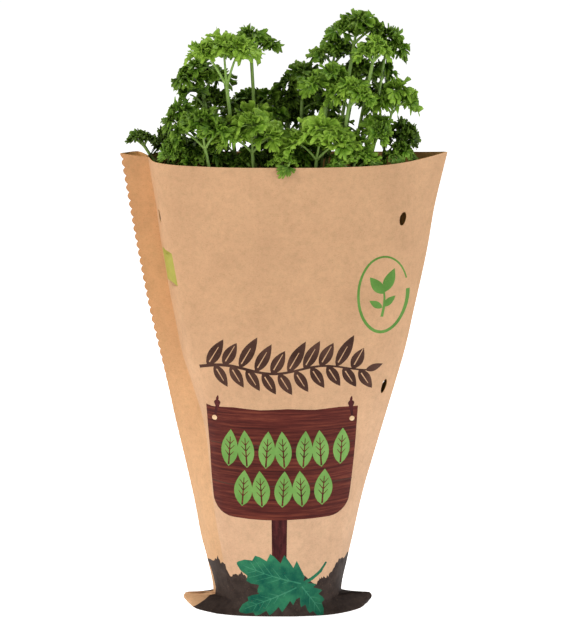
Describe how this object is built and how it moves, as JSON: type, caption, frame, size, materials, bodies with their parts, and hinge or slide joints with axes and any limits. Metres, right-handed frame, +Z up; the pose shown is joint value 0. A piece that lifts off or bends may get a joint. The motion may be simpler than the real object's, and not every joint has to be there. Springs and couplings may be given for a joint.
{
  "type": "potted parsley",
  "caption": "Tuft of curly-leaf parsley in a small round pot, standing in a tapered kraft paper herb sleeve with a printed front, side fin seam and open mouth.",
  "frame": {"origin": "on the floor under the pot's axis, on the flat underside of the paper sleeve", "axes": "+Z up along the pot's axis, -Y out of the printed front of the sleeve, +X to the right as seen from the front"},
  "size_m": [0.217, 0.1023, 0.3975],
  "materials": {
    "kraft_paper": "matt brown kraft, printed",
    "pot_plastic": "thin black moulded plastic",
    "soil": "dark moist crumbly potting mix",
    "parsley_leaf": "fresh green curly leaves with a soft sheen"
  },
  "bodies": {
    "root": {"nursery_pot": "pot_plastic", "paper_sleeve": "kraft_paper", "parsley_frond_01": "parsley_leaf", "parsley_frond_02": "parsley_leaf", "parsley_frond_03": "parsley_leaf", "parsley_frond_04": "parsley_leaf", "parsley_frond_05": "parsley_leaf", "parsley_frond_06": "parsley_leaf", "parsley_frond_07": "parsley_leaf", "parsley_frond_08": "parsley_leaf", "parsley_frond_09": "parsley_leaf", "parsley_frond_10": "parsley_leaf", "parsley_frond_11": "parsley_leaf", "parsley_frond_12": "parsley_leaf", "parsley_frond_13": "parsley_leaf", "parsley_frond_14": "parsley_leaf", "parsley_frond_15": "parsley_leaf", "parsley_frond_16": "parsley_leaf", "parsley_frond_17": "parsley_leaf", "parsley_frond_18": "parsley_leaf", "parsley_frond_19": "parsley_leaf", "parsley_frond_20": "parsley_leaf", "parsley_frond_21": "parsley_leaf", "parsley_frond_22": "parsley_leaf", "parsley_frond_23": "parsley_leaf", "parsley_frond_24": "parsley_leaf", "parsley_frond_25": "parsley_leaf", "parsley_frond_26": "parsley_leaf", "parsley_frond_27": "parsley_leaf", "parsley_frond_28": "parsley_leaf", "parsley_frond_29": "parsley_leaf", "parsley_frond_30": "parsley_leaf", "parsley_frond_31": "parsley_leaf", "parsley_frond_32": "parsley_leaf", "parsley_frond_33": "parsley_leaf", "parsley_frond_34": "parsley_leaf", "parsley_frond_35": "parsley_leaf", "parsley_frond_36": "parsley_leaf", "parsley_frond_37": "parsley_leaf", "parsley_frond_38": "parsley_leaf", "potting_soil": "soil"}
  },
  "joints": []
}
